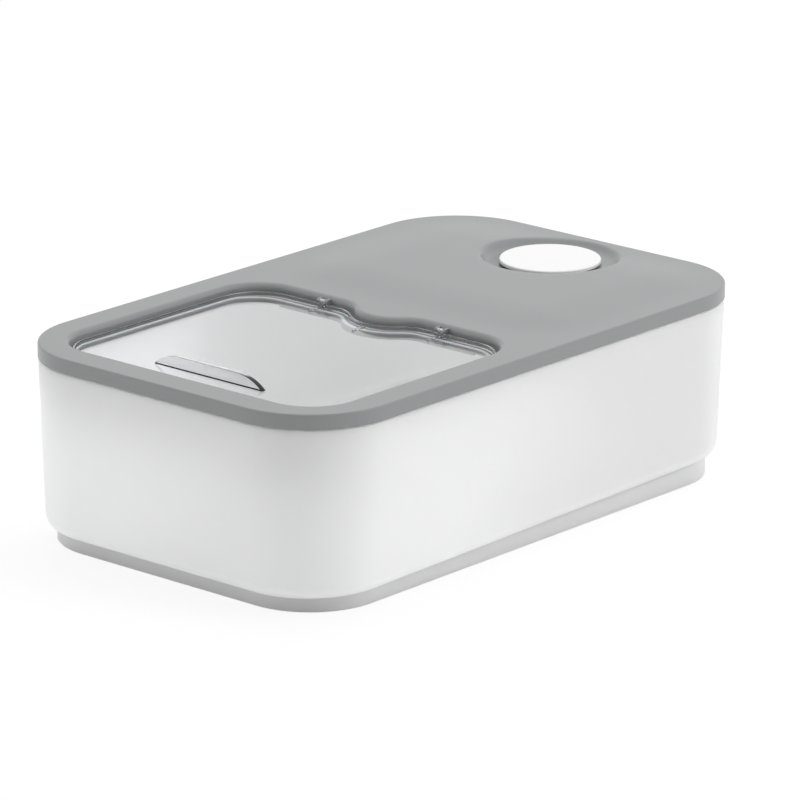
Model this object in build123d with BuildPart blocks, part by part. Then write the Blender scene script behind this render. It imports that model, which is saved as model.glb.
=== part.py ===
"""Low rice bin for a kitchen drawer: a white tub on a stepped foot, a grey lid
with a clear flip cover over its front half, and a moisture absorber whose white
cap stands in a round dish at the back of the lid.

Frame: millimetres, +Z up, origin at the middle of the base. X is the width.
The clear cover and its finger tab are at -Y, the absorber at +Y.
"""
import os
from math import asin, cos, degrees, radians, sin

from build123d import *

os.makedirs("parts", exist_ok=True)

# ---------------------------------------------------------------- driving sizes
# Lid outline, which the tub follows
lid_length = 400.0
lid_width = 248.0
lid_corner = 55.5
lid_top = 120.0
lid_plate = 2.5
lid_edge_round = 1.2
skirt_height = 9.0
skirt_wall = 1.6

# Tub
tub_step = 0.3
tub_gap = 0.7
tub_wall = 3.0
tub_draft = 1.8
tub_base_round = 8.0
tub_floor = 2.8
floor_front = 8.7
floor_rear = 14.2
rim_clearance = 0.35

# Foot under the tub
foot_inset = 9.8
foot_wall = 2.4
foot_rib = 1.8
foot_rib_rise = 3.0
foot_rib_count = 3
foot_rib_pitch = 90.0

# Rubber pads under the foot
pad_radius = 8.0
pad_height = 3.2
pad_proud = 0.6
pad_inset = 34.0
pad_edge = 0.8
pad_seat_wall = 2.0
pad_clearance = 0.1

# Lid seal and the rib that centres the lid in the tub
gasket_height = 2.0
gasket_width = 2.5
gasket_clearance = 0.1
gasket_bead = 0.6
plug_rib = 1.6
plug_depth = 7.5

# Window in the lid
window_half_width = 103.0
window_from_front = 21.5
window_rear = -3.0
window_front_corner = 28.0
window_rear_corner = 27.0
window_round = 3.5
window_wall = 1.8
bump_height = 13.8
bump_angle = 45.0
bump_base_radius = 22.0
ledge_depth = 9.3
ledge_plate = 1.8
ledge_side = 3.5
ledge_rear = 8.0
ledge_lip = 1.6
ledge_lip_depth = 12.4

# Seal on the ledge, under the clear cover
seal_inset = 0.4
seal_width = 2.2

# Clear flip cover
cover_gap = 1.4
cover_wall = 1.6
cover_rim_depth = 4.5
cover_rim_edge = 0.35
cover_base_edge = 0.5
cover_pane_depth = 6.5
cover_pane = 2.0
tab_from_front = 22.9
tab_thickness = 3.4
tab_rise = 1.0
tab_half_top = 22.0
tab_half_base = 42.0
tab_edge = 0.7
cover_rib_width = 1.4
cover_rib_rise = 0.7
cover_rib_length = 12.0

# Hinge of the cover
hinge_x = 46.0
hinge_set_in = 2.2
hinge_depth = 3.0
pin_radius = 0.7
pin_clearance = 0.06
pin_fit = 0.02
knuckle_radius = 1.5
ear_width = 4.0
lug_width = 1.6
knuckle_gap = 0.35
pin_chamfer = 0.15

# Soft crown of the deck behind the window
deck_margin = 9.0
deck_front_margin = 12.0
deck_corner = 46.5
deck_corner_share = 0.6
deck_corner_least = 5.0
deck_crown = 2.3
deck_steps = ((10.0, 0.18), (28.0, 0.70), (50.0, 1.0))

# Dish around the absorber
dish_from_rear = 50.0
dish_radius = 41.5
dish_floor_radius = 36.5
dish_depth = 3.8
dish_slope_rise = 2.0
dish_floor_plate = 2.0
collar_bore = 24.9
collar_wall = 2.0
collar_depth = 9.0

# Moisture absorber
cap_radius = 31.0
cap_thickness = 2.4
cap_edge = 0.8
cap_gap = 1.4
cap_plug_wall = 1.6
cap_plug_depth = 6.0
cup_radius = 23.2
cup_wall = 1.5
cup_height = 26.0
cup_flange = 4.2
cup_taper = 0.8
cup_fit = 0.2
ring_width = 1.8
ring_height = 2.4
ring_sunk = 0.4
ring_below_flange = 5.0
ring_fit = 0.03
vent_radius = 1.8
vent_circle = 11.0
vent_count = 8
sachet_gap = 1.2
sachet_lift = 0.3
sachet_height = 13.0
sachet_edge = 3.0

# Ribs beneath the deck
deck_rib = 1.6
deck_rib_depth = 6.0
deck_rib_x = 58.0
deck_rib_y = 62.0

# ---------------------------------------------------------------- worked-out places
window_front = window_from_front - lid_length / 2
skirt_base = lid_top - skirt_height
plate_base = lid_top - lid_plate
shoulder = skirt_base - tub_gap
rim_inset = skirt_wall + rim_clearance
rim_inner = tub_step + tub_wall
rim_top = plate_base - gasket_height
gasket_outer = skirt_wall + gasket_clearance
gasket_inner = gasket_outer + gasket_width
plug_outer = gasket_inner + gasket_clearance
foot_base = pad_proud
pad_x = lid_width / 2 - pad_inset
pad_y = lid_length / 2 - pad_inset
dish_y = lid_length / 2 - dish_from_rear
dish_floor = lid_top - dish_depth
hinge_y = window_rear - hinge_set_in
hinge_z = lid_top - hinge_depth
pane_top = lid_top - cover_pane_depth
pane_base = pane_top - cover_pane
pane_middle = pane_top - cover_pane / 2
ledge_top = lid_top - ledge_depth
deck_front = window_rear + deck_front_margin
deck_rear = lid_length / 2 - deck_margin
deck_middle = (deck_front + deck_rear) / 2
deck_rib_front = window_rear + window_wall / 2
deck_rib_rear = lid_length / 2 - plug_outer - plug_rib / 2
lip_half_width = window_half_width - window_rear_corner
lip_reach = bump_height + ledge_rear
tab_front = window_front + tab_from_front
tab_top = lid_top + tab_rise
tab_run = tab_half_base - tab_half_top
tab_arc = (tab_run**2 + (tab_top - pane_top) ** 2) / (2 * (tab_top - pane_top))
tab_turn = degrees(asin(tab_run / tab_arc))
rib_rear = window_rear - cover_gap - cover_wall / 2
hinge_span = ear_width + 2 * knuckle_gap + 2 * lug_width
lug_offset = (hinge_span - lug_width) / 2
lug_places = [side * hinge_x + end * lug_offset for side in (-1, 1) for end in (-1, 1)]
notch_floor = hinge_z - knuckle_radius - knuckle_gap
ear_reach = window_rear - cover_gap - hinge_y + knuckle_radius
notch_reach = ear_reach + knuckle_gap
window_reach = window_half_width + window_wall
cap_base = dish_floor + cap_gap
cup_base = dish_floor - cup_height
cup_foot_radius = cup_radius - cup_taper
cap_plug_radius = cup_radius - cup_wall - cup_fit
ring_middle = cup_radius - ring_sunk + ring_width / 2
ring_z = dish_floor - ring_below_flange
bump_radii = bump_height / (1 - cos(radians(bump_angle)))
bump_half_width = bump_radii * sin(radians(bump_angle))


def lid_outline(inset, mode=Mode.ADD):
    """The lid's rounded outline, moved inwards."""
    return RectangleRounded(
        lid_width - 2 * inset, lid_length - 2 * inset, lid_corner - inset, mode=mode
    )


def lid_ring(inset, wall):
    """A wall that follows the lid's outline."""
    lid_outline(inset)
    lid_outline(inset + wall, mode=Mode.SUBTRACT)


def window_outline(side, rear, mode=Mode.ADD):
    """The window's outline, moved inwards: its rear edge bows round the hinge bump."""
    half = window_half_width - side
    front = window_front + side
    back = window_rear - rear
    front_r = window_front_corner - side
    rear_r = window_rear_corner - side
    base_r = bump_base_radius - rear
    crest_r = bump_radii - base_r
    with BuildLine() as outline:
        Line((front_r - half, front), (half - front_r, front))
        CenterArc((half - front_r, front + front_r), front_r, -90, 90)
        Line((half, front + front_r), (half, back - rear_r))
        CenterArc((half - rear_r, back - rear_r), rear_r, 0, 90)
        Line((half - rear_r, back), (bump_half_width, back))
        CenterArc((bump_half_width, back - base_r), base_r, 90, bump_angle)
        CenterArc(
            (0, back - bump_height + crest_r), crest_r, bump_angle - 90, -2 * bump_angle
        )
        CenterArc(
            (-bump_half_width, back - base_r), base_r, 90 - bump_angle, bump_angle
        )
        Line((-bump_half_width, back), (rear_r - half, back))
        CenterArc((rear_r - half, back - rear_r), rear_r, 90, 90)
        Line((-half, back - rear_r), (-half, front + front_r))
        CenterArc((front_r - half, front + front_r), front_r, 180, 90)
    return make_face(outline.edges(), mode=mode)


def deck_form(base):
    """The shallow pillow of the deck, standing on a level plane."""
    width = lid_width - 2 * deck_margin
    length = deck_rear - deck_front
    with BuildPart() as form:
        for inset, rise in ((0.0, 0.0),) + deck_steps:
            with BuildSketch(Plane((0, deck_middle, base + rise * deck_crown))):
                RectangleRounded(
                    width - 2 * inset,
                    length - 2 * inset,
                    max(deck_corner - deck_corner_share * inset, deck_corner_least),
                )
        loft()
    return form.part


# ---------------------------------------------------------------- tub
floor_rise = floor_rear - floor_front
floor_tilt = Plane(
    origin=(0, 0, (floor_front + floor_rear) / 2),
    x_dir=(1, 0, 0),
    z_dir=(0, -floor_rise, lid_length),
)
floor_top = floor_tilt.offset(tub_floor)

with BuildPart() as tub_cavity:
    with BuildSketch(Plane.XY.offset(shoulder)):
        lid_outline(rim_inner)
    extrude(amount=-shoulder, taper=tub_draft)
    split(bisect_by=floor_top, keep=Keep.TOP)
    fillet(tub_cavity.edges().group_by(Axis.Z)[0], tub_base_round - tub_floor)
    with BuildSketch(Plane.XY.offset(shoulder)):
        lid_outline(rim_inner)
    extrude(amount=rim_top - shoulder)

with BuildPart() as tub:
    with BuildSketch(Plane.XY.offset(shoulder)):
        lid_outline(tub_step)
    extrude(amount=-shoulder, taper=tub_draft)
    split(bisect_by=floor_tilt, keep=Keep.TOP)
    fillet(tub.edges().group_by(Axis.Z)[0], tub_base_round)
    with BuildSketch(Plane.XY.offset(shoulder)):
        lid_outline(rim_inset)
    extrude(amount=rim_top - shoulder)
    with BuildSketch(Plane.XY.offset(foot_base)):
        lid_ring(foot_inset, foot_wall)
    extrude(amount=floor_rear - foot_base + tub_floor / 2)
    with BuildSketch(Plane.XY.offset(foot_base + foot_rib_rise)):
        with GridLocations(0, foot_rib_pitch, 1, foot_rib_count):
            Rectangle(lid_width - 2 * foot_inset - foot_wall, foot_rib)
        Rectangle(foot_rib, lid_length - 2 * foot_inset - foot_wall)
    extrude(amount=floor_rear - foot_base - foot_rib_rise + tub_floor / 2)
    with BuildSketch(Plane.XY.offset(foot_base)):
        with GridLocations(2 * pad_x, 2 * pad_y, 2, 2):
            Circle(pad_radius + pad_seat_wall)
    extrude(amount=floor_rear - foot_base + tub_floor / 2)
    with BuildSketch(Plane.XY):
        with GridLocations(2 * pad_x, 2 * pad_y, 2, 2):
            Circle(pad_radius + pad_clearance)
    extrude(amount=pad_height, mode=Mode.SUBTRACT)
    add(tub_cavity.part, mode=Mode.SUBTRACT)
tub.part.label = "tub"
export_step(tub.part, "parts/tub.step")

# ---------------------------------------------------------------- rubber pads
for side_name, x_sign in (("left", -1), ("right", 1)):
    for end_name, y_sign in (("front", -1), ("rear", 1)):
        with BuildPart() as foot_pad:
            with BuildSketch(Plane((x_sign * pad_x, y_sign * pad_y, 0))):
                Circle(pad_radius)
            extrude(amount=pad_height)
            chamfer(foot_pad.edges().group_by(Axis.Z)[0], pad_edge)
        pad_name = f"foot_pad_{end_name}_{side_name}"
        foot_pad.part.label = pad_name
        export_step(foot_pad.part, f"parts/{pad_name}.step")

# ---------------------------------------------------------------- lid gasket
with BuildPart() as lid_gasket:
    with BuildSketch(Plane.XY.offset(rim_top)):
        lid_ring(gasket_outer, gasket_width)
    extrude(amount=gasket_height)
    chamfer(
        lid_gasket.faces().sort_by(Axis.Z)[0].inner_wires().edges(), gasket_bead
    )
lid_gasket.part.label = "lid_gasket"
export_step(lid_gasket.part, "parts/lid_gasket.step")

# ---------------------------------------------------------------- lid frame
with BuildPart() as lid_frame:
    # Plate with its crowned deck
    with BuildSketch(Plane.XY.offset(plate_base)):
        lid_outline(0)
    extrude(amount=lid_plate)
    fillet(lid_frame.edges().group_by(Axis.Z)[-1], lid_edge_round)
    add(deck_form(lid_top))
    add(deck_form(plate_base), mode=Mode.SUBTRACT)
    # Skirt outside the tub's rim and rib inside it
    with BuildSketch(Plane.XY.offset(skirt_base)):
        lid_ring(0, skirt_wall)
    extrude(amount=plate_base - skirt_base)
    with BuildSketch(Plane.XY.offset(plate_base - plug_depth)):
        lid_ring(plug_outer, plug_rib)
    extrude(amount=plug_depth)
    # Stiffening ribs beneath the deck
    with BuildSketch(Plane.XY.offset(plate_base - deck_rib_depth)):
        with Locations((0, (deck_rib_front + deck_rib_rear) / 2)):
            with GridLocations(2 * deck_rib_x, 0, 2, 1):
                Rectangle(deck_rib, deck_rib_rear - deck_rib_front)
        with Locations((0, deck_rib_y)):
            Rectangle(lid_width - 2 * plug_outer - plug_rib, deck_rib)
    extrude(amount=deck_rib_depth + deck_crown)
    # Window: wall, opening, ledge, and the lip under the ledge's rear edge
    with BuildSketch(Plane.XY.offset(ledge_top - ledge_plate)):
        window_outline(-window_wall, -window_wall)
    extrude(amount=plate_base - ledge_top + ledge_plate + lid_plate / 2)
    with BuildSketch(Plane.XY.offset(ledge_top)):
        window_outline(0, 0)
    extrude(amount=ledge_depth, mode=Mode.SUBTRACT)
    with BuildSketch(Plane.XY.offset(lid_top - ledge_lip_depth)):
        with Locations((0, window_rear - ledge_rear)):
            Rectangle(2 * lip_half_width, 2 * lip_reach)
        window_outline(ledge_side - ledge_lip, ledge_rear - ledge_lip, mode=Mode.INTERSECT)
    extrude(amount=ledge_lip_depth - ledge_depth - ledge_plate / 2)
    with BuildSketch(Plane.XY.offset(lid_top - ledge_lip_depth)):
        window_outline(ledge_side, ledge_rear)
    extrude(amount=ledge_lip_depth - ledge_depth, mode=Mode.SUBTRACT)
    # Dish round the absorber, its collar and the ring's bore
    with BuildSketch(Plane.XZ.offset(-dish_y)):
        with BuildLine():
            Polyline(
                (0, dish_floor - dish_floor_plate),
                (dish_floor_radius + dish_floor_plate, dish_floor - dish_floor_plate),
                (dish_radius + dish_floor_plate, plate_base),
                (dish_radius + dish_floor_plate, plate_base + lid_plate / 2),
                (0, plate_base + lid_plate / 2),
                close=True,
            )
        make_face()
    revolve(axis=Axis((0, dish_y, 0), (0, 0, 1)))
    with BuildSketch(Plane((0, dish_y, dish_floor - dish_floor_plate - collar_depth))):
        Circle(collar_bore + collar_wall)
    extrude(amount=collar_depth + dish_floor_plate)
    with BuildSketch(Plane.XZ.offset(-dish_y)):
        with BuildLine():
            Polyline(
                (0, dish_floor),
                (dish_floor_radius, dish_floor),
                (dish_radius, lid_top + dish_slope_rise),
                (dish_radius, lid_top + 2 * deck_crown),
                (0, lid_top + 2 * deck_crown),
                close=True,
            )
        make_face()
    revolve(axis=Axis((0, dish_y, 0), (0, 0, 1)), mode=Mode.SUBTRACT)
    with BuildSketch(Plane((0, dish_y, dish_floor - dish_floor_plate - collar_depth))):
        Circle(collar_bore)
    extrude(amount=collar_depth + 2 * dish_floor_plate, mode=Mode.SUBTRACT)
    # Soft edge of the window
    rim_edges = lid_frame.edges().filter_by_position(Axis.Z, lid_top, lid_top)
    rim_edges = rim_edges.filter_by_position(Axis.Y, window_front, window_rear)
    fillet(rim_edges.filter_by_position(Axis.X, -window_reach, window_reach), window_round)
    # Lugs that hold the cover's pins
    for lug_x in lug_places:
        with BuildSketch(Plane.YZ.offset(lug_x - lug_width / 2)):
            with Locations((hinge_y, hinge_z)):
                Circle(knuckle_radius)
                Rectangle(
                    hinge_set_in + window_wall / 2,
                    2 * knuckle_radius,
                    align=(Align.MIN, Align.CENTER),
                )
        extrude(amount=lug_width)
    for side in (-1, 1):
        with BuildSketch(Plane.YZ.offset(side * hinge_x - hinge_span / 2)):
            with Locations((hinge_y, hinge_z)):
                Circle(pin_radius + pin_fit)
        extrude(amount=hinge_span, mode=Mode.SUBTRACT)
lid_frame.part.label = "lid_frame"
export_step(lid_frame.part, "parts/lid_frame.step")

# ---------------------------------------------------------------- hinge pins
for side_name, side in (("left", -1), ("right", 1)):
    with BuildPart() as hinge_pin:
        with BuildSketch(Plane.YZ.offset(side * hinge_x - hinge_span / 2)):
            with Locations((hinge_y, hinge_z)):
                Circle(pin_radius)
        extrude(amount=hinge_span)
        chamfer(hinge_pin.edges(), pin_chamfer)
    hinge_pin.part.label = f"hinge_pin_{side_name}"
    export_step(hinge_pin.part, f"parts/hinge_pin_{side_name}.step")

# ---------------------------------------------------------------- seal under the cover
with BuildPart() as cover_seal:
    with BuildSketch(Plane.XY.offset(ledge_top)):
        window_outline(
            ledge_side - seal_inset - seal_width, ledge_rear - seal_inset - seal_width
        )
        window_outline(ledge_side - seal_inset, ledge_rear - seal_inset, mode=Mode.SUBTRACT)
    extrude(amount=pane_base - ledge_top)
cover_seal.part.label = "cover_seal"
export_step(cover_seal.part, "parts/cover_seal.step")

# ---------------------------------------------------------------- clear flip cover
with BuildPart() as flip_cover:
    # Pane and the low wall round it
    with BuildSketch(Plane.XY.offset(pane_base)):
        window_outline(cover_gap, cover_gap)
    extrude(amount=lid_top - cover_rim_depth - pane_base)
    with BuildSketch(Plane.XY.offset(pane_top)):
        window_outline(cover_gap + cover_wall, cover_gap + cover_wall)
    extrude(amount=cover_pane_depth, mode=Mode.SUBTRACT)
    chamfer(flip_cover.faces().sort_by(Axis.Z)[-1].edges(), cover_rim_edge)
    chamfer(flip_cover.faces().sort_by(Axis.Z)[0].edges(), cover_base_edge)
    # Finger tab, a low arch across the front
    with BuildSketch(Plane.XZ.offset(-tab_front - tab_thickness)):
        with BuildLine() as tab_line:
            Line((-tab_half_top, tab_top), (tab_half_top, tab_top))
            CenterArc((tab_half_top, tab_top - tab_arc), tab_arc, 90, -tab_turn)
            Line((tab_half_base, pane_top), (tab_half_base, pane_middle))
            Line((tab_half_base, pane_middle), (-tab_half_base, pane_middle))
            Line((-tab_half_base, pane_middle), (-tab_half_base, pane_top))
            CenterArc((-tab_half_top, tab_top - tab_arc), tab_arc, 90 + tab_turn, -tab_turn)
        make_face()
    extrude(amount=tab_thickness)
    tab_edges = flip_cover.edges().filter_by_position(Axis.Z, pane_top + tab_edge, tab_top)
    tab_edges = tab_edges.filter_by_position(Axis.Y, tab_front, tab_front + tab_thickness)
    tab_edges = tab_edges.filter_by_position(Axis.X, -tab_half_base, tab_half_base)
    chamfer(tab_edges.filter_by(Axis.Y, reverse=True), tab_edge)
    # Ears on the pins, and room in the wall for the lid's lugs
    for side in (-1, 1):
        with BuildSketch(Plane.YZ.offset(side * hinge_x - hinge_span / 2 - knuckle_gap)):
            with Locations((window_rear - cover_gap, notch_floor)):
                Rectangle(notch_reach, cover_pane_depth, align=(Align.MAX, Align.MIN))
        extrude(amount=hinge_span + 2 * knuckle_gap, mode=Mode.SUBTRACT)
        with BuildSketch(Plane.YZ.offset(side * hinge_x - ear_width / 2)):
            with Locations((hinge_y, hinge_z)):
                Circle(knuckle_radius)
            with Locations((window_rear - cover_gap, pane_middle)):
                Rectangle(ear_reach, hinge_z - pane_middle, align=(Align.MAX, Align.MIN))
        extrude(amount=ear_width)
        with BuildSketch(Plane.YZ.offset(side * hinge_x - ear_width)):
            with Locations((hinge_y, hinge_z)):
                Circle(pin_radius + pin_clearance)
        extrude(amount=2 * ear_width, mode=Mode.SUBTRACT)
    # Three ribs that stiffen the pane at its rear edge
    with BuildSketch(Plane.XY.offset(pane_middle)):
        with Locations((-hinge_x, rib_rear), (0, rib_rear - bump_height), (hinge_x, rib_rear)):
            Rectangle(cover_rib_width, cover_rib_length, align=(Align.CENTER, Align.MAX))
    extrude(amount=cover_rib_rise + cover_pane / 2)
flip_cover.part.label = "flip_cover"
export_step(flip_cover.part, "parts/flip_cover.step")

# ---------------------------------------------------------------- moisture absorber
absorber_axis = Axis((0, dish_y, 0), (0, 0, 1))

with BuildPart() as absorber_cap:
    with BuildSketch(Plane((0, dish_y, cap_base))):
        Circle(cap_radius)
    extrude(amount=cap_thickness)
    chamfer(absorber_cap.edges().group_by(Axis.Z)[-1], cap_edge)
    with BuildSketch(Plane((0, dish_y, cap_base - cap_plug_depth))):
        Circle(cap_plug_radius)
        Circle(cap_plug_radius - cap_plug_wall, mode=Mode.SUBTRACT)
    extrude(amount=cap_plug_depth)
absorber_cap.part.label = "absorber_cap"
export_step(absorber_cap.part, "parts/absorber_cap.step")

with BuildPart() as absorber_cup:
    with BuildSketch(Plane.XZ.offset(-dish_y)):
        with BuildLine():
            Polyline(
                (0, cup_base),
                (cup_foot_radius, cup_base),
                (cup_radius, dish_floor),
                (cup_radius + cup_flange, dish_floor),
                (cup_radius + cup_flange, cap_base),
                (cup_radius - cup_wall, cap_base),
                (cup_radius - cup_wall, dish_floor),
                (cup_foot_radius - cup_wall, cup_base + cup_wall),
                (0, cup_base + cup_wall),
                close=True,
            )
        make_face()
    revolve(axis=absorber_axis)
    with BuildSketch(Plane.XZ.offset(-dish_y)):
        with Locations((ring_middle, ring_z)):
            Rectangle(ring_width + 2 * ring_fit, ring_height + 2 * ring_fit)
    revolve(axis=absorber_axis, mode=Mode.SUBTRACT)
    with BuildSketch(Plane((0, dish_y, cup_base))):
        with PolarLocations(vent_circle, vent_count):
            Circle(vent_radius)
    extrude(amount=cup_wall, mode=Mode.SUBTRACT)
absorber_cup.part.label = "absorber_cup"
export_step(absorber_cup.part, "parts/absorber_cup.step")

with BuildPart() as absorber_ring:
    with BuildSketch(Plane.XZ.offset(-dish_y)):
        with Locations((ring_middle, ring_z)):
            Rectangle(ring_width, ring_height)
    revolve(axis=absorber_axis)
absorber_ring.part.label = "absorber_ring"
export_step(absorber_ring.part, "parts/absorber_ring.step")

with BuildPart() as absorber_sachet:
    with BuildSketch(Plane((0, dish_y, cup_base + cup_wall + sachet_lift))):
        Circle(cup_foot_radius - cup_wall - sachet_gap)
    extrude(amount=sachet_height)
    chamfer(absorber_sachet.edges(), sachet_edge)
absorber_sachet.part.label = "absorber_sachet"
export_step(absorber_sachet.part, "parts/absorber_sachet.step")
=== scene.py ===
from math import asin, cos, pi, radians, sin, sqrt, tan

import bmesh
import bpy
from mathutils import Matrix, Vector, noise
from mathutils.geometry import delaunay_2d_cdt


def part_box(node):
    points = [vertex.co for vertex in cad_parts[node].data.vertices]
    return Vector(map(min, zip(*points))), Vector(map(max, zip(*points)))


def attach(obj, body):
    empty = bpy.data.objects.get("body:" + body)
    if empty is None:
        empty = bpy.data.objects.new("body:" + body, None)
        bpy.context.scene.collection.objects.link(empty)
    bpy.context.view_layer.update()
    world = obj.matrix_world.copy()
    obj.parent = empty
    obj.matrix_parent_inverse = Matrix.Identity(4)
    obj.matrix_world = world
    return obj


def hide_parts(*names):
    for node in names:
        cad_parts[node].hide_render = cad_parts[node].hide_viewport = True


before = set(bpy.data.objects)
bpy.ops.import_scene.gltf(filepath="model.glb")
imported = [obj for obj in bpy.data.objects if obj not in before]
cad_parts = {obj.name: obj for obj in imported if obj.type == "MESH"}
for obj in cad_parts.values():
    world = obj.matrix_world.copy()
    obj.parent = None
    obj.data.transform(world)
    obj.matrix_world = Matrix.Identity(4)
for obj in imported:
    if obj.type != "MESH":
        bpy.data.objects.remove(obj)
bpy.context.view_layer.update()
mm = 0.001

# ---------------------------------------------------------------- the picture
# Where the bin is looked at from: from its front right corner, a little above
# the lid, with a long lens.
view_azimuth = radians(40.986)
view_elevation = radians(17.177)
view_roll = radians(0.191)
view_distance = 3.46
view_aim = Vector((0, 0, 80 * mm))
aim_pixel = (387.28, 374.22)
picture_pixels = 800
focal_pixels = 5860.7
film_width = 36.0
far_limit = 50.0

forward = Vector((
    -sin(view_azimuth) * cos(view_elevation),
    cos(view_azimuth) * cos(view_elevation),
    -sin(view_elevation),
))
level_right = Vector((cos(view_azimuth), sin(view_azimuth), 0))
level_up = level_right.cross(forward)
right = cos(view_roll) * level_right + sin(view_roll) * level_up
up = cos(view_roll) * level_up - sin(view_roll) * level_right
pixel_reach = view_distance / focal_pixels
place = view_aim - forward * view_distance
place -= right * (aim_pixel[0] - picture_pixels / 2) * pixel_reach
place += up * (aim_pixel[1] - picture_pixels / 2) * pixel_reach

camera_data = bpy.data.cameras.new("view")
camera_data.sensor_width = film_width
camera_data.lens = focal_pixels / picture_pixels * film_width
camera_data.clip_end = far_limit
camera = bpy.data.objects.new("view", camera_data)
turn = Matrix((right, up, -forward)).transposed()
camera.matrix_world = Matrix.Translation(place) @ turn.to_4x4()
bpy.context.collection.objects.link(camera)
bpy.context.scene.camera = camera
bpy.context.scene.view_settings.view_transform = "Standard"

# ---------------------------------------------------------------- the room
# A white floor and a white room. What the camera, a glossy face or clear
# plastic sees of them is plain white; a soft shadow stays under the bin.
floor_reach = 6.0
floor_colour = 0.97
floor_shadow_share = 0.14
room_light = 0.42


def put(tree, kind, feeds=None, **settings):
    """A node in the tree. Each feed is a socket to link from, or a value to hold."""
    node = tree.nodes.new(kind)
    for setting, value in settings.items():
        setattr(node, setting, value)
    for socket, value in (feeds or {}).items():
        if isinstance(value, bpy.types.NodeSocket):
            tree.links.new(value, node.inputs[socket])
        else:
            node.inputs[socket].default_value = value
    return node


def sees_white(tree):
    """1 for a ray that looks at the room straight, by a reflection or through plastic."""
    path = put(tree, "ShaderNodeLightPath").outputs
    straight = put(
        tree, "ShaderNodeMath", {0: path["Is Camera Ray"], 1: path["Is Glossy Ray"]}, operation="MAXIMUM"
    )
    either = {0: straight.outputs[0], 1: path["Is Transmission Ray"]}
    return put(tree, "ShaderNodeMath", either, operation="MAXIMUM").outputs[0]


world = bpy.data.worlds.new("room")
world.use_nodes = True
room = world.node_tree
seen = put(room, "ShaderNodeMapRange", {"Value": sees_white(room), "To Min": room_light, "To Max": 1.0})
background = room.nodes["Background"]
background.inputs["Color"].default_value = (1, 1, 1, 1)
room.links.new(seen.outputs[0], background.inputs["Strength"])
bpy.context.scene.world = world

floor_mesh = bpy.data.meshes.new("floor")
corners = [(x * floor_reach, y * floor_reach, 0) for x, y in ((-1, -1), (1, -1), (1, 1), (-1, 1))]
floor_mesh.from_pydata(corners, [], [(0, 1, 2, 3)])
floor = bpy.data.objects.new("floor", floor_mesh)
bpy.context.collection.objects.link(floor)
floor_paint = bpy.data.materials.new("floor_paint")
floor_paint.use_nodes = True
tree = floor_paint.node_tree
tree.nodes.clear()
matt = put(tree, "ShaderNodeBsdfDiffuse", {"Color": (floor_colour, floor_colour, floor_colour, 1)})
glow = put(tree, "ShaderNodeEmission")
share = put(tree, "ShaderNodeMapRange", {"Value": sees_white(tree), "To Max": 1 - floor_shadow_share})
mixed = put(tree, "ShaderNodeMixShader", {0: share.outputs[0], 1: matt.outputs[0], 2: glow.outputs[0]})
put(tree, "ShaderNodeOutputMaterial", {"Surface": mixed.outputs[0]})
floor_mesh.materials.append(floor_paint)

# ---------------------------------------------------------------- the lamps
# Three soft boxes: one high behind the bin, one at its right side and a weak
# one at its left, so that the corner nearest the camera is the darkest.
lamp_distance = 2.4


def soft_box(name, azimuth, elevation, level, size):
    """A square lamp aimed at the bin; level is the light it gives a face turned to it."""
    data = bpy.data.lights.new(name, "AREA")
    data.size = size
    data.energy = level * pi**2 * lamp_distance**2
    lamp = bpy.data.objects.new(name, data)
    away = Vector((
        sin(radians(azimuth)) * cos(radians(elevation)),
        cos(radians(azimuth)) * cos(radians(elevation)),
        sin(radians(elevation)),
    ))
    lamp.location = away * lamp_distance
    lamp.rotation_euler = away.to_track_quat("Z", "Y").to_euler()
    lamp.visible_camera = False
    lamp.visible_glossy = False
    lamp.visible_transmission = False
    bpy.context.collection.objects.link(lamp)


soft_box("top_lamp", azimuth=-30, elevation=72, level=0.55, size=1.6)
soft_box("right_lamp", azimuth=60, elevation=34, level=0.49, size=1.4)
soft_box("left_lamp", azimuth=232, elevation=18, level=0.27, size=1.4)

# ---------------------------------------------------------------- tub
# The bin itself: one injection moulding in white polypropylene that lets some
# light through. Its section runs round the lid's outline and leans out a little;
# the floor falls to the front for the last rice, over a foot with ribs and seats.
lid_low, lid_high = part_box("lid_frame")
lid_half_x = lid_high[0]
lid_half_y = lid_high[1]
lid_corner = 55.5 * mm
corner_steps = 32
shoulder_z = 110.3 * mm
rim_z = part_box("lid_gasket")[0][2]
rim_inset = 1.95 * mm
tub_step = 0.3 * mm
tub_wall = 3.0 * mm
tub_floor = 2.8 * mm
tub_draft = tan(radians(1.8))
tub_base_round = 8.0 * mm
tub_edge = 0.5 * mm
floor_front_z = 8.7 * mm
floor_rear_z = 14.2 * mm
floor_middle_z = (floor_front_z + floor_rear_z) / 2
floor_lean = (floor_rear_z - floor_front_z) / (2 * lid_half_y)
lean_low = 5 * mm
lean_high = 22 * mm
wall_start_z = 26 * mm
foot_inset = 9.8 * mm
foot_wall = 2.4 * mm
foot_root = 0.2 * mm
foot_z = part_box("tub")[0][2]
foot_rib = 1.8 * mm
foot_rib_rise = 3.0 * mm
foot_rib_pitch = 90 * mm
foot_rib_count = 3
pad_low, pad_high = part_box("foot_pad_rear_right")
pad_x = (pad_low[0] + pad_high[0]) / 2
pad_y = (pad_low[1] + pad_high[1]) / 2
seat_wall = 2.0 * mm
seat_clearance = 0.1 * mm


def lid_loop(inset, z, steps=corner_steps):
    """The lid's rounded outline moved inwards, at height z."""
    radius = lid_corner - inset
    points = []
    for quarter, (sx, sy) in enumerate(((1, -1), (1, 1), (-1, 1), (-1, -1))):
        centre = Vector((sx * (lid_half_x - lid_corner), sy * (lid_half_y - lid_corner)))
        for step in range(steps + 1):
            angle = (quarter - 1 + step / steps) * pi / 2
            points.append((centre.x + radius * cos(angle), centre.y + radius * sin(angle), z))
    return points


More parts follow.
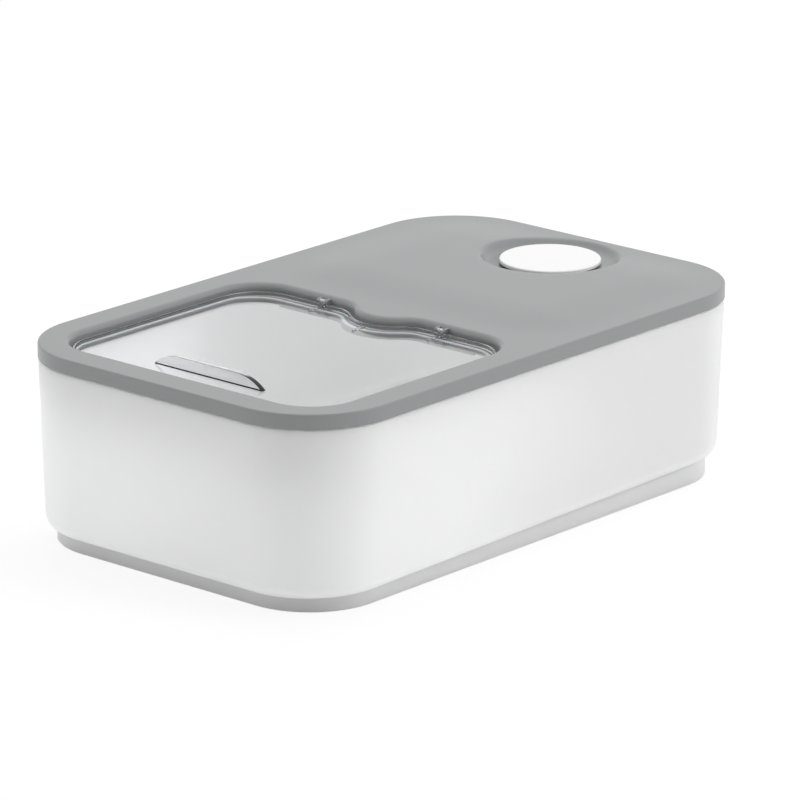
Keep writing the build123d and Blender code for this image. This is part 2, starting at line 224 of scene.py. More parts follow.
def arc(inset, z, radius, start, turn, steps):
    """Points of a section, as inset and height, along an arc given in degrees."""
    angles = [radians(start + turn * step / steps) for step in range(steps + 1)]
    return [(inset + radius * cos(a), z + radius * sin(a)) for a in angles]


def drawn_line(name, points, closed):
    """A curve through the points: a path, or the section that runs along one."""
    data = bpy.data.curves.new(name, "CURVE")
    data.dimensions = "3D"
    line = data.splines.new("POLY")
    line.points.add(len(points) - 1)
    for spot, point in zip(line.points, points):
        spot.co = (*point, 1)
    line.use_cyclic_u = closed
    made = bpy.data.objects.new(name, data)
    bpy.context.collection.objects.link(made)
    return made


def new_tree(name, sockets):
    """A geometry tree with named inputs that ends in Realize Instances and Set Material."""
    tree = bpy.data.node_groups.new(name, "GeometryNodeTree")
    tree.interface.new_socket("Geometry", in_out="INPUT", socket_type="NodeSocketGeometry")
    for label, kind in sockets.items():
        tree.interface.new_socket(label, in_out="INPUT", socket_type="NodeSocket" + kind)
    tree.interface.new_socket("Material", in_out="INPUT", socket_type="NodeSocketMaterial")
    tree.interface.new_socket("Geometry", in_out="OUTPUT", socket_type="NodeSocketGeometry")
    given = put(tree, "NodeGroupInput").outputs
    real = put(tree, "GeometryNodeRealizeInstances")
    painted = put(tree, "GeometryNodeSetMaterial", {
        "Geometry": real.outputs[0], "Material": given["Material"],
    })
    put(tree, "NodeGroupOutput", {0: painted.outputs[0]})
    return tree, given, real.inputs[0]


def grown(piece, tree, values):
    """Runs the tree on the piece with these inputs and keeps the plain mesh that it gives."""
    step = piece.modifiers.new(tree.name, "NODES")
    step.node_group = tree
    for socket in tree.interface.items_tree:
        if socket.in_out == "INPUT" and socket.name in values:
            step[socket.identifier] = values[socket.name]
    shaped = bpy.data.meshes.new_from_object(piece.evaluated_get(bpy.context.evaluated_depsgraph_get()))
    piece.modifiers.clear()
    piece.data = shaped
    for value in values.values():
        if isinstance(value, bpy.types.Object):
            bpy.data.objects.remove(value)


def new_piece(name, bm=None):
    """An object at the origin with the mesh that was built, or an empty one."""
    mesh = bpy.data.meshes.new(name)
    if bm:
        bm.to_mesh(mesh)
        bm.free()
    made = bpy.data.objects.new(name, mesh)
    bpy.context.collection.objects.link(made)
    return made


def cleaned(piece, material, crease=32):
    """Welds the mesh, closes what is open, turns its faces out and smooths them up to the crease."""
    bm = bmesh.new()
    bm.from_mesh(piece.data)
    bmesh.ops.remove_doubles(bm, verts=bm.verts, dist=0.001 * mm)
    bmesh.ops.holes_fill(bm, edges=[edge for edge in bm.edges if edge.is_boundary])
    bmesh.ops.recalc_face_normals(bm, faces=bm.faces)
    bm.to_mesh(piece.data)
    bm.free()
    piece.data.shade_smooth()
    piece.data.set_sharp_from_angle(angle=radians(crease))
    piece.data.materials.clear()
    piece.data.materials.append(material)


def new_look(name):
    """A material, its tree, its shader, and where on the piece a point lies."""
    material = bpy.data.materials.new(name)
    material.use_nodes = True
    tree = material.node_tree
    where = put(tree, "ShaderNodeTexCoord").outputs["Object"]
    return material, tree, tree.nodes["Principled BSDF"], where


def finished(tree, shader, pattern, shades, roughs):
    """The pattern moves the colour between two shades, and the roughness between two values."""
    dark, light = shades
    ends = {"Factor": pattern, "A": (*dark, 1), "B": (*light, 1)}
    tint = put(tree, "ShaderNodeMix", ends, data_type="RGBA")
    tree.links.new(tint.outputs["Result"], shader.inputs["Base Color"])
    sheen = put(tree, "ShaderNodeMapRange", {"Value": pattern, "To Min": roughs[0], "To Max": roughs[1]})
    tree.links.new(sheen.outputs[0], shader.inputs["Roughness"])


def embossed(tree, shader, pattern, strength, depth):
    """The pattern stands in relief."""
    relief = put(tree, "ShaderNodeBump", {"Strength": strength, "Distance": depth, "Height": pattern})
    tree.links.new(relief.outputs[0], shader.inputs["Normal"])


def moulded_plastic(name, colour, mottle, rough, grain_size, grain_depth):
    """Satin plastic: a faint cloud in its colour, an uneven sheen and a spark-eroded grain."""
    material, tree, shader, where = new_look(name)
    cloud = put(tree, "ShaderNodeTexNoise", {"Vector": where, "Scale": 14, "Detail": 4}).outputs[0]
    shades = [[min(c * (1 + part), 1) for c in colour] for part in (-mottle, mottle)]
    finished(tree, shader, cloud, shades, (rough - 0.04, rough + 0.04))
    grain = put(tree, "ShaderNodeTexNoise", {"Vector": where, "Scale": 1 / grain_size, "Detail": 3})
    embossed(tree, shader, grain.outputs[0], 0.5, grain_depth)
    return material


def swept(tree, path, section):
    """The section run along the path's object, upright all the way."""
    line = put(tree, "GeometryNodeObjectInfo", {"Object": path})
    level = put(tree, "GeometryNodeSetCurveNormal", {0: line.outputs["Geometry"]}, mode="Z_UP")
    run = {"Curve": level.outputs[0], "Profile Curve": section}
    return put(tree, "GeometryNodeCurveToMesh", run).outputs[0]


def point_place(tree):
    """The X, Y and Z of each point."""
    return put(tree, "ShaderNodeSeparateXYZ", {0: put(tree, "GeometryNodeInputPosition").outputs[0]}).outputs


def leaned(tree, geometry, chosen, slope):
    """The chosen points raised with Y, as the floor rises to the rear."""
    rise = put(tree, "ShaderNodeMath", {0: point_place(tree)["Y"], 1: slope}, operation="MULTIPLY")
    lean = put(tree, "ShaderNodeCombineXYZ", {"Z": rise.outputs[0]})
    moved = {"Geometry": geometry, "Selection": chosen, "Offset": lean.outputs[0]}
    return put(tree, "GeometryNodeSetPosition", moved).outputs[0]


def made_real(tree, copies):
    """The instances as one mesh."""
    return put(tree, "GeometryNodeRealizeInstances", {0: copies}).outputs[0]


def solids_joined(tree, operation, first, others):
    """The closed meshes united, or the others cut from the first."""
    feeds = {"Mesh 1": first} if operation == "DIFFERENCE" else {"Self Intersection": True}
    result = put(tree, "GeometryNodeMeshBoolean", feeds, operation=operation, solver="EXACT")
    for other in others:
        tree.links.new(other, result.inputs["Mesh 2"])
    return result.outputs[0]


# The walls: the section runs round the outline, then the floor leans.
wall_tree, given, result = new_tree("tub_walls", {
    "Path": "Object", "Section": "Object", "Floor Lean": "Float", "Lean From": "Float", "Lean To": "Float",
})
section = put(wall_tree, "GeometryNodeObjectInfo", {"Object": given["Section"]})
walls = swept(wall_tree, given["Path"], section.outputs["Geometry"])
height = point_place(wall_tree)["Z"]
above = put(wall_tree, "FunctionNodeCompare", {0: height, 1: given["Lean From"]})
below = put(wall_tree, "FunctionNodeCompare", {0: height, 1: given["Lean To"]}, operation="LESS_THAN")
floor_part = put(wall_tree, "FunctionNodeBooleanMath", {0: above.outputs[0], 1: below.outputs[0]})
wall_tree.links.new(leaned(wall_tree, walls, floor_part.outputs[0], given["Floor Lean"]), result)

# The foot: ribs and pad seats under the floor, all joined to it, and the pads' bores.
foot_tree, given, result = new_tree("tub_foot", {
    "Rib Count": "Int", "Rib Pitch": "Float", "Rib Middle": "Vector", "Cross Rib": "Vector",
    "Long Rib": "Vector", "Seats Wide": "Float", "Seats Long": "Float", "Seat Radius": "Float",
    "Seat Height": "Float", "Seat Middle": "Vector", "Bore Radius": "Float", "Bore Height": "Float",
    "Floor Lean": "Float", "Lean From": "Float",
})


def seat_pattern(radius, height, middle):
    """Upright cylinders at the four pad places."""
    spots = put(foot_tree, "GeometryNodeMeshGrid", {
        "Size X": given["Seats Wide"], "Size Y": given["Seats Long"], "Vertices X": 2, "Vertices Y": 2,
    })
    turned = put(foot_tree, "GeometryNodeMeshCylinder", {"Vertices": 48, "Radius": radius, "Depth": height})
    copies = put(foot_tree, "GeometryNodeInstanceOnPoints", {
        "Points": spots.outputs[0], "Instance": turned.outputs[0],
    })
    moved = {"Geometry": made_real(foot_tree, copies.outputs[0]), "Offset": middle}
    return put(foot_tree, "GeometryNodeSetPosition", moved).outputs[0]


pitch = put(foot_tree, "ShaderNodeCombineXYZ", {"Y": given["Rib Pitch"]})
back = put(foot_tree, "ShaderNodeMath", {0: given["Rib Count"], 1: 1}, operation="SUBTRACT")
start = put(foot_tree, "ShaderNodeVectorMath", {0: pitch.outputs[0]}, operation="SCALE")
half_back = put(foot_tree, "ShaderNodeMath", {0: back.outputs[0], 1: -0.5}, operation="MULTIPLY")
foot_tree.links.new(half_back.outputs[0], start.inputs["Scale"])
rib_row = put(foot_tree, "GeometryNodeMeshLine", {
    "Count": given["Rib Count"], "Start Location": start.outputs[0], "Offset": pitch.outputs[0],
})
cross_rib = put(foot_tree, "GeometryNodeMeshCube", {"Size": given["Cross Rib"]})
cross_ribs = put(foot_tree, "GeometryNodeInstanceOnPoints", {
    "Points": rib_row.outputs[0], "Instance": cross_rib.outputs[0],
})
long_rib = put(foot_tree, "GeometryNodeMeshCube", {"Size": given["Long Rib"]})
ribs = put(foot_tree, "GeometryNodeJoinGeometry", {0: cross_ribs.outputs[0]})
foot_tree.links.new(long_rib.outputs[0], ribs.inputs[0])
placed_ribs = put(foot_tree, "GeometryNodeSetPosition", {
    "Geometry": made_real(foot_tree, ribs.outputs[0]), "Offset": given["Rib Middle"],
})
seats = seat_pattern(given["Seat Radius"], given["Seat Height"], given["Seat Middle"])
fitting = put(foot_tree, "GeometryNodeJoinGeometry", {0: placed_ribs.outputs[0]})
foot_tree.links.new(seats, fitting.inputs[0])
top_end = put(foot_tree, "FunctionNodeCompare", {0: point_place(foot_tree)["Z"], 1: given["Lean From"]})
fitted = leaned(foot_tree, fitting.outputs[0], top_end.outputs[0], given["Floor Lean"])
united = solids_joined(foot_tree, "UNION", None, [given["Geometry"], fitted])
bores = seat_pattern(given["Bore Radius"], given["Bore Height"], (0, 0, 0))
foot_tree.links.new(solids_joined(foot_tree, "DIFFERENCE", united, [bores]), result)

outer_foot = tub_step + (shoulder_z - floor_middle_z - tub_base_round) * tub_draft
inner_foot = outer_foot + tub_wall
inner_round = tub_base_round - tub_floor
foot_far = foot_inset + foot_wall
round_middle = (outer_foot + tub_base_round, floor_middle_z + tub_base_round)
under_foot = asin((round_middle[0] - foot_inset) / tub_base_round) * 180 / pi
tub_section = [(foot_far + 4 * tub_edge, floor_middle_z)]
tub_section += arc(foot_far + tub_edge, floor_middle_z - tub_edge, tub_edge, 90, 90, 3)
tub_section += arc(foot_far - tub_edge, foot_z + tub_edge, tub_edge, 0, -90, 3)
tub_section += arc(foot_inset + tub_edge, foot_z + tub_edge, tub_edge, -90, -90, 3)
tub_section.append((foot_inset, floor_middle_z - foot_root))
tub_section += arc(*round_middle, tub_base_round, 270 - under_foot, under_foot - 90, 12)
for z in (wall_start_z, shoulder_z / 2, shoulder_z - 2 * tub_edge):
    tub_section.append((tub_step + (shoulder_z - z) * tub_draft, z))
tub_section += arc(tub_step + tub_edge, shoulder_z - tub_edge, tub_edge, 180, -90, 4)
tub_section.append((rim_inset, shoulder_z))
tub_section += arc(rim_inset + tub_edge, rim_z - tub_edge, tub_edge, 180, -90, 3)
tub_section += arc(tub_step + tub_wall - tub_edge, rim_z - tub_edge, tub_edge, 90, -90, 3)
for z in (shoulder_z, shoulder_z / 2, wall_start_z):
    tub_section.append((tub_step + tub_wall + (shoulder_z - z) * tub_draft, z))
floor_top = floor_middle_z + tub_floor
tub_section += arc(inner_foot + inner_round, floor_top + inner_round, inner_round, 180, 90, 8)
tub_section.append((inner_foot + 2 * inner_round, floor_top))

tub_white = moulded_plastic("tub_white", (0.90, 0.90, 0.905), 0.008, 0.42, 0.35 * mm, 0.02 * mm)
tub_shader = tub_white.node_tree.nodes["Principled BSDF"]
tub_shader.inputs["Subsurface Weight"].default_value = 1.0
tub_shader.inputs["Subsurface Radius"].default_value = (1.0, 1.0, 1.0)
tub_shader.inputs["Subsurface Scale"].default_value = 14 * mm
tub = new_piece("tub_moulding")
grown(tub, wall_tree, {
    "Path": drawn_line("tub_path", lid_loop(0, 0), closed=True),
    "Section": drawn_line("tub_section", [(-inset, -z, 0) for inset, z in tub_section], closed=False),
    "Floor Lean": floor_lean,
    "Lean From": lean_low,
    "Lean To": lean_high,
    "Material": tub_white,
})
cleaned(tub, tub_white)
rib_low = foot_z + foot_rib_rise
rib_top = floor_middle_z + tub_floor / 2
grown(tub, foot_tree, {
    "Rib Count": foot_rib_count,
    "Rib Pitch": foot_rib_pitch,
    "Rib Middle": (0, 0, (rib_low + rib_top) / 2),
    "Cross Rib": (2 * lid_half_x - 2 * foot_inset - foot_wall, foot_rib, rib_top - rib_low),
    "Long Rib": (foot_rib, 2 * lid_half_y - 2 * foot_inset - foot_wall, rib_top - rib_low),
    "Seats Wide": 2 * pad_x,
    "Seats Long": 2 * pad_y,
    "Seat Radius": (pad_high[0] - pad_low[0]) / 2 + seat_wall,
    "Seat Height": rib_top - foot_z,
    "Seat Middle": (0, 0, (rib_top + foot_z) / 2),
    "Bore Radius": (pad_high[0] - pad_low[0]) / 2 + seat_clearance,
    "Bore Height": 2 * pad_high[2],
    "Floor Lean": floor_lean,
    "Lean From": (rib_low + rib_top) / 2,
    "Material": tub_white,
})
cleaned(tub, tub_white)
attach(tub, "tub_body")
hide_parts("tub")

# ---------------------------------------------------------------- rubber pads
# Four turned pads of soft grey rubber, pressed into their seats so that they
# stand just proud of the foot and keep the bin from sliding in its drawer.


def soft_rubber(name, colour, cloud_share, rough, dust_size, dust_depth, glow_through=0.0):
    """Matt rubber: a dusty bloom in its colour, and the fine skin of its mould."""
    material, tree, shader, where = new_look(name)
    bloom = put(tree, "ShaderNodeTexNoise", {"Vector": where, "Scale": 90, "Detail": 5, "Roughness": 0.6})
    shades = [[c * (1 + part) for c in colour] for part in (-cloud_share, cloud_share)]
    finished(tree, shader, bloom.outputs[0], shades, (rough - 0.08, rough + 0.08))
    shader.inputs["Sheen Weight"].default_value = 0.15
    shader.inputs["Subsurface Weight"].default_value = glow_through
    shader.inputs["Subsurface Scale"].default_value = 2 * mm
    skin = put(tree, "ShaderNodeTexNoise", {"Vector": where, "Scale": 1 / dust_size, "Detail": 2})
    embossed(tree, shader, skin.outputs[0], 0.6, dust_depth)
    return material


def finish_node(name, material):
    """A node whose own shape is right gets its real finish."""
    for part_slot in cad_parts[name].material_slots:
        part_slot.material = material


pad_grey = soft_rubber("pad_grey", (0.26, 0.26, 0.26), 0.12, 0.72, 0.25 * mm, 0.02 * mm)
for end in ("front", "rear"):
    for side in ("left", "right"):
        finish_node(f"foot_pad_{end}_{side}", pad_grey)

# ---------------------------------------------------------------- lid gasket
# A soft milky silicone ring between the lid's skirt and its rib. It is moulded
# in one loop, and the tub's rim presses into it when the lid is shut.
strip_tree, given, result = new_tree("moulded_strip", {
    "Path": "Object", "Width": "Float", "Height": "Float", "Edge Round": "Float",
})
block = put(strip_tree, "GeometryNodeCurvePrimitiveQuadrilateral", {
    "Width": given["Width"], "Height": given["Height"],
})
section = put(strip_tree, "GeometryNodeFilletCurve", {
    "Curve": block.outputs[0], "Radius": given["Edge Round"], "Count": 4,
}, mode="POLY")
strip_tree.links.new(swept(strip_tree, given["Path"], section.outputs[0]), result)


def moulded_strip(name, points, width, height, edge_round, material):
    """A soft ring with a rounded section round the closed path of its middle."""
    piece = new_piece(name)
    grown(piece, strip_tree, {
        "Path": drawn_line(name + "_path", points, closed=True),
        "Width": width,
        "Height": height,
        "Edge Round": edge_round,
        "Material": material,
    })
    cleaned(piece, material)
    return piece


gasket_low, gasket_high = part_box("lid_gasket")
gasket_inset = lid_half_x - gasket_high[0]
gasket_width = 2.5 * mm
gasket_round = 0.5 * mm
gasket_milk = soft_rubber(
    "gasket_milk", (0.64, 0.64, 0.63), 0.03, 0.55, 0.3 * mm, 0.01 * mm, glow_through=0.6
)
gasket = moulded_strip(
    "gasket_ring",
    lid_loop(gasket_inset + gasket_width / 2, (gasket_low[2] + gasket_high[2]) / 2),
    gasket_width,
    gasket_high[2] - gasket_low[2],
    gasket_round,
    gasket_milk,
)
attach(gasket, "lid")
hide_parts("lid_gasket")

# ---------------------------------------------------------------- lid frame
# The grey lid: one moulding with a skirt over the tub's rim, a sunk ledge round
# the window, a softly crowned deck behind it and a dish for the absorber. Ribs
# stiffen it from below, and two pairs of lugs hold the cover's pins.
lid_z = 120.0 * mm
lid_ior = 1.78
lid_plate = 2.5 * mm
lid_edge_round = 1.2 * mm
skirt_z = 111.0 * mm
skirt_wall = 1.6 * mm
skirt_edge = 0.4 * mm
plug_inset = gasket_inset + gasket_width + 0.1 * mm
plug_rib = 1.6 * mm
plug_depth = 7.5 * mm
plug_edge = 0.3 * mm
flat_strip = 0.5 * mm
join_depth = 0.5 * mm
window_half = 103.0 * mm
window_front = -178.5 * mm
window_rear = -3.0 * mm
window_front_corner = 28.0 * mm
window_rear_corner = 27.0 * mm
window_round = 3.5 * mm
window_wall = 1.8 * mm
bump_height = 13.8 * mm
bump_turn = radians(45)
bump_base_radius = 22.0 * mm
ledge_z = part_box("cover_seal")[0][2]
ledge_plate = 1.8 * mm
ledge_side = 3.5 * mm
ledge_rear = 8.0 * mm
ledge_edge = 0.3 * mm
ledge_round = 0.6 * mm
lip_width = 1.6 * mm
lip_depth = 3.1 * mm
lip_step = 0.05 * mm
lip_half = window_half - window_rear_corner
lip_reach = 32 * mm
deck_crown = lid_high[2] - lid_z
deck_half_x = lid_half_x - 9 * mm
deck_front = window_rear + 12 * mm
deck_rear = lid_half_y - 9 * mm
deck_corner = 46.5 * mm
deck_slope = 50 * mm
deck_mesh = 5 * mm
under_mesh = 8 * mm
deck_rib = 1.6 * mm
deck_rib_depth = 6.0 * mm
deck_rib_x = 58.0 * mm
deck_rib_y = 62.0 * mm
dish_y = (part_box("absorber_cap")[0][1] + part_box("absorber_cap")[1][1]) / 2
dish_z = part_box("absorber_cup")[1][2] - 1.4 * mm
dish_rim = 44.5 * mm
dish_plate = 2.0 * mm
dish_under_rim = 43.5 * mm
dish_under_floor = 38.5 * mm
bore = 24.9 * mm
collar_wall = 2.0 * mm
collar_z = lid_low[2]
dish_steps = 96
pin_low, pin_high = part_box("hinge_pin_right")
hinge_x = (pin_low[0] + pin_high[0]) / 2
hinge_y = (pin_low[1] + pin_high[1]) / 2
hinge_z = (pin_low[2] + pin_high[2]) / 2
hinge_span = pin_high[0] - pin_low[0]
pin_radius = (pin_high[2] - pin_low[2]) / 2
knuckle_radius = 1.5 * mm
lug_width = 1.6 * mm
lug_bore = pin_radius + 0.02 * mm
lug_steps = 20
cut_past = 1 * mm


def rounding(loop, *shape):
    """The loops that follow a rounding of the section, which is given as for arc."""
    return [loop(inset, z) for inset, z in arc(*shape)]


def add_skin(bm, loops, ends="open"):
    """Faces over a stack of equal loops. Ends stay open, get faces, or meet each other."""
    rows = [[bm.verts.new(point) for point in loop] for loop in loops]
    pairs = list(zip(rows, rows[1:]))
    if ends == "meet":
        pairs.append((rows[-1], rows[0]))
    for lower, upper in pairs:
        for i in range(len(lower)):
            bm.faces.new((lower[i - 1], lower[i], upper[i], upper[i - 1]))
    if ends == "closed":
        bm.faces.new(rows[0])
        bm.faces.new(rows[-1])


def window_loop(side, rear, z):
    """The window's outline moved inwards: its rear edge bows round a bump in the middle."""
    front_r = window_front_corner - side
    rear_r = window_rear_corner - side
    base_r = bump_base_radius - rear
    bump_r = bump_height / (1 - cos(bump_turn))
    crest_r = bump_r - base_r
    half = window_half - side
    front = window_front + side
    back = window_rear - rear
    half_bump = bump_r * sin(bump_turn)
    quarter = pi / 2
    arcs = (
        (half - front_r, front + front_r, front_r, -quarter, quarter, 24),
        (half - rear_r, back - rear_r, rear_r, 0, quarter, 24),
        (half_bump, back - base_r, base_r, quarter, bump_turn, 16),
        (0, back - bump_height + crest_r, crest_r, bump_turn - quarter, -2 * bump_turn, 24),
        (-half_bump, back - base_r, base_r, quarter - bump_turn, bump_turn, 16),
        (rear_r - half, back - rear_r, rear_r, quarter, quarter, 24),
        (front_r - half, front + front_r, front_r, 2 * quarter, quarter, 24),
    )
    points = []
    for x, y, radius, start, turn, steps in arcs:
        for step in range(steps + 1):
            angle = start + turn * step / steps
            points.append((x + radius * cos(angle), y + radius * sin(angle), z))
    return points


def crown(x, y):
    """Height of the deck's soft pillow above the lid's edge."""
    across = abs(x) - deck_half_x + deck_corner
    along = abs(y - (deck_front + deck_rear) / 2) - (deck_rear - deck_front) / 2 + deck_corner
    outside = sqrt(max(across, 0) ** 2 + max(along, 0) ** 2) + min(max(across, along), 0)
    inside = min(max((deck_corner - outside) / deck_slope, 0), 1)
    return deck_crown * sin(pi / 2 * inside**0.85) ** 2


def crowned(loop, base):
    """The loop laid on the crowned deck."""
    return [(x, y, base + crown(x, y)) for x, y, _ in loop]


def brim_loop(inset, z):
    """The window's outline, moved inwards and laid on the crowned deck."""
    return crowned(window_loop(inset, inset, 0), z)


def well_loop(inset, z):
    """The window's outline, moved inwards the same all round."""
    return window_loop(inset, inset, z)


def dish_loop(radius, z):
    """A circle round the absorber."""
    turns = [step / dish_steps * 2 * pi for step in range(dish_steps)]
    return [(radius * cos(a), dish_y + radius * sin(a), z) for a in turns]


def within(loop, x, y):
    """True if the point is inside the closed loop."""
    hit = False
    for (x1, y1, _), (x2, y2, _) in zip(loop, loop[1:] + loop[:1]):
        if (y1 > y) != (y2 > y) and x < (x2 - x1) * (y - y1) / (y2 - y1) + x1:
            hit = not hit
    return hit


def add_sheet(bm, border, holes, base, spacing):
    """A crowned sheet between the border and the holes."""
    points = []
    edges = []
    for loop in [border] + holes:
        first = len(points)
        kept = [loop[0]]
        for point in loop[1:]:
            if (Vector(point) - Vector(kept[-1])).length > 0.01 * mm:
                kept.append(point)
        points += [Vector(point[:2]) for point in kept]
        edges += [(first + i, first + (i + 1) % len(kept)) for i in range(len(kept))]
    rim = len(points)
    columns = int(2 * lid_half_x / spacing)
    rows = int(2 * lid_half_y / spacing)
    for i in range(1, columns):
        for j in range(1, rows):
            spot = Vector((i * spacing - lid_half_x, j * spacing - lid_half_y))
            if not within(border, *spot) or any(within(hole, *spot) for hole in holes):
                continue
            if min((spot - other).length_squared for other in points[:rim]) > (spacing / 2) ** 2:
                points.append(spot)
    flat, _, faces, *_ = delaunay_2d_cdt(points, edges, [], 1, 1e-9)
    verts = [bm.verts.new((p.x, p.y, base + crown(p.x, p.y))) for p in flat]
    for face in faces:
        middle = sum((flat[i] for i in face), Vector((0, 0))) / len(face)
        if not any(within(hole, *middle) for hole in holes):
            bm.faces.new([verts[i] for i in face])


def joined(base, others, operation):
    """The base united with, or cut by, the other closed meshes."""
    for other in others:
        step = base.modifiers.new("join", "BOOLEAN")
        step.operation = operation
        step.object = other
        step.solver = "EXACT"
    shaped = bpy.data.meshes.new_from_object(base.evaluated_get(bpy.context.evaluated_depsgraph_get()))
    base.modifiers.clear()
    base.data = shaped
    for other in others:
        bpy.data.objects.remove(other)


def slab(name, outline, shift):
    """A closed block: the outline's points and the same points moved by the shift."""
    bm = bmesh.new()
    add_skin(bm, [outline, [tuple(Vector(point) + Vector(shift)) for point in outline]], ends="closed")
    bmesh.ops.recalc_face_normals(bm, faces=bm.faces)
    return new_piece(name, bm)


def knuckle(x, width, radius, tail):
    """A round eye about the hinge's axis, with a straight tail of (y, z) points."""
    turns = [step / lug_steps * pi for step in range(lug_steps + 1)]
    if tail[0][1] < hinge_z - radius:
        eye = [(hinge_y + radius * cos(a), hinge_z + radius * sin(a)) for a in turns]
    else:
        eye = [(hinge_y - radius * sin(a), hinge_z + radius * cos(a)) for a in turns]
    outline = [(x - width / 2, y, z) for y, z in eye + tail]
    return slab("knuckle", outline, (width, 0, 0))


def pin_hole(x, radius, width):
    """What a drill leaves open about the hinge's axis."""
    turns = [step / lug_steps * 2 * pi for step in range(lug_steps)]
    outline = [(x - width / 2, hinge_y + radius * cos(a), hinge_z + radius * sin(a)) for a in turns]
    return slab("drilled", outline, (width, 0, 0))


def crowned_rib(start, end, thickness):
    """A rib under the deck, from one point to the other, whose top follows the crown."""
    along = Vector(end) - Vector(start)
    side = Vector((-along.y, along.x)).normalized() * thickness / 2
    steps = 24
    bm = bmesh.new()
    loops = []
    for step in range(steps + 1):
        middle = Vector(start) + along * step / steps
        a, b = middle + side, middle - side
        low = lid_z - lid_plate - deck_rib_depth
        top = lid_z - lid_plate / 2 + crown(*middle)
        loops.append([(a.x, a.y, low), (b.x, b.y, low), (b.x, b.y, top), (a.x, a.y, top)])
    add_skin(bm, loops, ends="closed")
    bmesh.ops.recalc_face_normals(bm, faces=bm.faces)
    return new_piece("rib", bm)


lid_bm = bmesh.new()
plate_z = lid_z - lid_plate
top_border = lid_loop(lid_edge_round + flat_strip, lid_z)
window_brim = well_loop(-window_round - flat_strip, lid_z)
dish_brim = dish_loop(dish_rim, lid_z)
add_sheet(lid_bm, top_border, [window_brim, dish_brim], lid_z, deck_mesh)
under_border = lid_loop(skirt_wall, plate_z)
under_window = well_loop(-window_wall, plate_z)
under_dish = dish_loop(dish_under_rim, plate_z)
add_sheet(lid_bm, under_border, [under_window, under_dish], plate_z, under_mesh)
add_skin(lid_bm, [
    top_border,
    *rounding(lid_loop, lid_edge_round, lid_z - lid_edge_round, lid_edge_round, 90, 90, 6),
    lid_loop(0, lid_z - lid_edge_round - flat_strip),
    lid_loop(0, skirt_z + 2 * flat_strip),
    *rounding(lid_loop, skirt_edge, skirt_z + skirt_edge, skirt_edge, 180, 90, 3),
    *rounding(lid_loop, skirt_wall - skirt_edge, skirt_z + skirt_edge, skirt_edge, 270, 90, 3),
    under_border,
])
add_skin(lid_bm, [
    crowned(window_brim, lid_z),
    *rounding(brim_loop, -window_round, lid_z - window_round, window_round, 90, -90, 8),
    well_loop(0, ledge_z + 2 * flat_strip),
    *rounding(well_loop, ledge_round, ledge_z + ledge_round, ledge_round, 180, 90, 3),
    window_loop(ledge_side - ledge_edge, ledge_rear - ledge_edge, ledge_z),
    window_loop(ledge_side, ledge_rear, ledge_z - ledge_edge),
    window_loop(ledge_side, ledge_rear, ledge_z - ledge_plate),
    well_loop(-window_wall, ledge_z - ledge_plate),
    under_window,
])
# The dish's side falls in a soft S: its radii in mm, and how much of the fall is left.
dish_fall = (
    (43.6, 0.985), (42.8, 0.93), (42.1, 0.82), (41.4, 0.66), (40.5, 0.44),
    (39.5, 0.25), (38.5, 0.11), (37.4, 0.03), (36.2, 0.0),
)
dish_loops = [crowned(dish_brim, lid_z)]
for radius, height in dish_fall:
    loop = dish_loop(radius * mm, dish_z)
    dish_loops.append([
        (x, y, z + height * (lid_z + crown(*top[:2]) - z)) for (x, y, z), top in zip(loop, dish_brim)
    ])
collar_profile = [
    (bore + flat_strip, dish_z), (bore, dish_z - flat_strip), (bore, collar_z),
    (bore + collar_wall, collar_z), (bore + collar_wall, dish_z - dish_plate),
    (dish_under_floor, dish_z - dish_plate),
]
dish_loops += [dish_loop(radius, z) for radius, z in collar_profile]
dish_loops.append(crowned(under_dish, plate_z))
add_skin(lid_bm, dish_loops)
lid = new_piece("lid_moulding", lid_bm)
lid_grey = moulded_plastic("lid_grey", (0.204, 0.208, 0.211), 0.02, 0.34, 0.30 * mm, 0.015 * mm)
lid_grey.node_tree.nodes["Principled BSDF"].inputs["IOR"].default_value = lid_ior
cleaned(lid, lid_grey)

plug_bm = bmesh.new()
add_skin(plug_bm, [
    lid_loop(plug_inset, plate_z + join_depth),
    lid_loop(plug_inset, plate_z - plug_depth + plug_edge),
    lid_loop(plug_inset + plug_edge, plate_z - plug_depth),
    lid_loop(plug_inset + plug_rib - plug_edge, plate_z - plug_depth),
    lid_loop(plug_inset + plug_rib, plate_z - plug_depth + plug_edge),
    lid_loop(plug_inset + plug_rib, plate_z + join_depth),
], ends="meet")
bmesh.ops.remove_doubles(plug_bm, verts=plug_bm.verts, dist=0.001 * mm)
bmesh.ops.recalc_face_normals(plug_bm, faces=plug_bm.faces)
rib_rear = lid_half_y - plug_inset - plug_rib / 2
rib_side = lid_half_x - plug_inset - plug_rib / 2
rib_front = window_rear + window_wall / 2
below = [new_piece("plug", plug_bm)]
below += [crowned_rib((x, rib_front), (x, rib_rear), deck_rib) for x in (-deck_rib_x, deck_rib_x)]
below.append(crowned_rib((-rib_side, deck_rib_y), (rib_side, deck_rib_y), deck_rib))
lip_edges = []
for out in (lip_width, lip_step):
    edge_line = window_loop(ledge_side - out, ledge_rear - out, ledge_z - lip_depth)
    lip_edges.append([p for p in edge_line if abs(p[0]) <= lip_half and p[1] > window_rear - lip_reach])
below.append(slab("lip", lip_edges[0] + lip_edges[1][::-1], (0, 0, lip_depth - ledge_plate / 2)))
lug_offset = (hinge_span - lug_width) / 2
lug_tail_y = window_rear + window_wall / 2
for side in (-1, 1):
    for end in (-1, 1):
        tail = [(lug_tail_y, hinge_z - knuckle_radius), (lug_tail_y, hinge_z + knuckle_radius)]
        below.append(knuckle(side * hinge_x + end * lug_offset, lug_width, knuckle_radius, tail))
joined(lid, below, "UNION")
